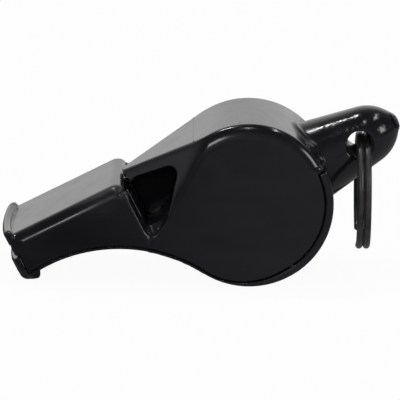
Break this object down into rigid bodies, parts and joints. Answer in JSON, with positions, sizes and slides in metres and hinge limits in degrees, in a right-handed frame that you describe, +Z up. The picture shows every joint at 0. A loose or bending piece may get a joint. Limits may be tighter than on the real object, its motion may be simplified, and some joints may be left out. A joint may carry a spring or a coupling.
{
  "type": "sports whistle",
  "caption": "Pealess sports whistle moulded in glossy black plastic, with a flat-sided drum, beaded mouthpiece, side windows and a tapered lug that holds a dark split ring",
  "frame": {"origin": "on the ground, under the middle of the bounding box, with the whistle lying on its drum and its lower lip as pictured", "axes": "+X along the whistle towards the lug, -X towards the mouthpiece, +Y across to one flat side, +Z up"},
  "size_m": [0.0554, 0.0186, 0.0239],
  "materials": {
    "shell": "gloss",
    "ring": "satin"
  },
  "bodies": {
    "whistle": {"main_body": "shell", "lower_shell": "shell", "windway_block": "shell"},
    "ring": {"split_ring": "ring"}
  },
  "joints": [
    {"name": "ring_swing", "type": "hinge", "parent": "whistle", "child": "ring", "pos_m": [0.02229, 0, 0.01925], "axis": [0, 1, 0], "range_deg": [-230, 15]}
  ]
}
